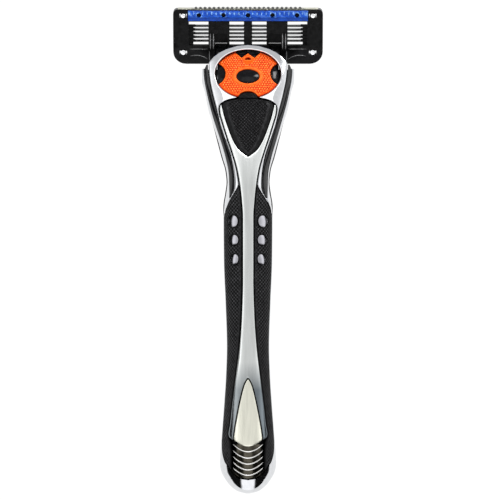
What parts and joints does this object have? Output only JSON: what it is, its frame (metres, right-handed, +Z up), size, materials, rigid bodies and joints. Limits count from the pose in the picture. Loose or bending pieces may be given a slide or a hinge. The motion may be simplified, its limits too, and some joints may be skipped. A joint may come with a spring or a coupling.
{
  "type": "cartridge razor",
  "caption": "Hand-held wet-shaving razor with a pivoting multi-blade cartridge on a release dock and a curved chrome and rubber handle.",
  "frame": {"origin": "centre of the overall box in plan, on the floor the razor lies on", "axes": "+Z up out of the button side, +Y along the handle towards the cartridge, +X across the cartridge to the right with the head pointing away"},
  "size_m": [0.042, 0.1368, 0.0173],
  "materials": {
    "housing_black": "semi-gloss moulded",
    "guard_rubber": "soft ribbed",
    "glide_strip": "waxy",
    "blade_steel": "ground and honed",
    "support_steel": "stamped",
    "clip_steel": "bright",
    "trimmer_blue": "semi-gloss",
    "dock_black": "fine matt",
    "spring_steel": "drawn wire",
    "button_orange": "fine pimpled",
    "gloss_black": "polished",
    "chrome": "bright plated",
    "satin_silver": "satin plated",
    "warm_silver": "satin plated, warm",
    "bronze": "smoked plating on black",
    "grip_rubber": "textured soft-touch",
    "chassis_black": "glass-filled, matt"
  },
  "bodies": {
    "handle": {"chassis": "chassis_black", "nose": "dock_black", "rear_shell": "chrome", "rear_grip": "grip_rubber", "neck_cover": "chrome", "spine": "satin_silver", "thumb_pad": "grip_rubber", "tail_panel": "warm_silver", "tail_ribs": "bronze", "grip_left": "grip_rubber", "grip_right": "grip_rubber", "grip_bump_left_1": "gloss_black", "grip_bump_left_2": "gloss_black", "grip_bump_left_3": "gloss_black", "grip_bump_right_1": "gloss_black", "grip_bump_right_2": "gloss_black", "grip_bump_right_3": "gloss_black", "side_inlay_left": "gloss_black", "side_inlay_right": "gloss_black", "plunger_spring": "spring_steel", "ejector_spring_left": "spring_steel", "ejector_spring_right": "spring_steel"},
    "button": {"button_cap": "button_orange", "button_insert": "gloss_black", "button_base": "dock_black", "ejector": "dock_black"},
    "plunger": {"plunger": "dock_black"},
    "bracket": {"bracket": "dock_black"},
    "cartridge": {"housing": "housing_black", "guard_strip": "guard_rubber", "lube_strip": "glide_strip", "clip_left": "clip_steel", "clip_right": "clip_steel", "trimmer_carrier": "trimmer_blue", "trimmer_blade": "blade_steel"},
    "blade_unit_1": {"blade_1": "blade_steel", "blade_support_1": "support_steel"},
    "blade_unit_2": {"blade_2": "blade_steel", "blade_support_2": "support_steel"},
    "blade_unit_3": {"blade_3": "blade_steel", "blade_support_3": "support_steel"},
    "blade_unit_4": {"blade_4": "blade_steel", "blade_support_4": "support_steel"},
    "blade_unit_5": {"blade_5": "blade_steel", "blade_support_5": "support_steel"}
  },
  "joints": [
    {"name": "button_slide", "type": "slide", "parent": "handle", "child": "button", "axis": [0, 0.9397, -0.342], "range_m": [0, 0.0015], "stiffness_N_per_m": 800, "springref_m": -0.0015, "deforming": ["ejector_spring_left", "ejector_spring_right"]},
    {"name": "plunger_slide", "type": "slide", "parent": "handle", "child": "plunger", "axis": [0, -0.9397, 0.342], "range_m": [0, 0.0025], "deforming": ["plunger_spring"]},
    {"name": "cartridge_release", "type": "slide", "parent": "handle", "child": "bracket", "axis": [0, 0.9397, -0.342], "range_m": [0, 0.012]},
    {"name": "cartridge_pivot", "type": "hinge", "parent": "bracket", "child": "cartridge", "pos_m": [0, 0.05647, 0.00309], "axis": [1, 0, 0], "range_deg": [0, 45], "stiffness_Nm_per_rad": 0.005, "springref_deg": -45.84},
    {"name": "blade_spring_1", "type": "slide", "parent": "cartridge", "child": "blade_unit_1", "axis": [0, -0.2079, 0.9781], "range_m": [0, 0.00035], "stiffness_N_per_m": 500, "springref_m": -0.0002},
    {"name": "blade_spring_2", "type": "slide", "parent": "cartridge", "child": "blade_unit_2", "axis": [0, -0.2079, 0.9781], "range_m": [0, 0.00035], "stiffness_N_per_m": 500, "springref_m": -0.0002},
    {"name": "blade_spring_3", "type": "slide", "parent": "cartridge", "child": "blade_unit_3", "axis": [0, -0.2079, 0.9781], "range_m": [0, 0.00035], "stiffness_N_per_m": 500, "springref_m": -0.0002},
    {"name": "blade_spring_4", "type": "slide", "parent": "cartridge", "child": "blade_unit_4", "axis": [0, -0.2079, 0.9781], "range_m": [0, 0.00035], "stiffness_N_per_m": 500, "springref_m": -0.0002},
    {"name": "blade_spring_5", "type": "slide", "parent": "cartridge", "child": "blade_unit_5", "axis": [0, -0.2079, 0.9781], "range_m": [0, 0.00035], "stiffness_N_per_m": 500, "springref_m": -0.0002}
  ],
  "couplings": [
    {"joint": "plunger_slide", "follows": "cartridge_pivot", "m_per_rad": 0.0027}
  ]
}
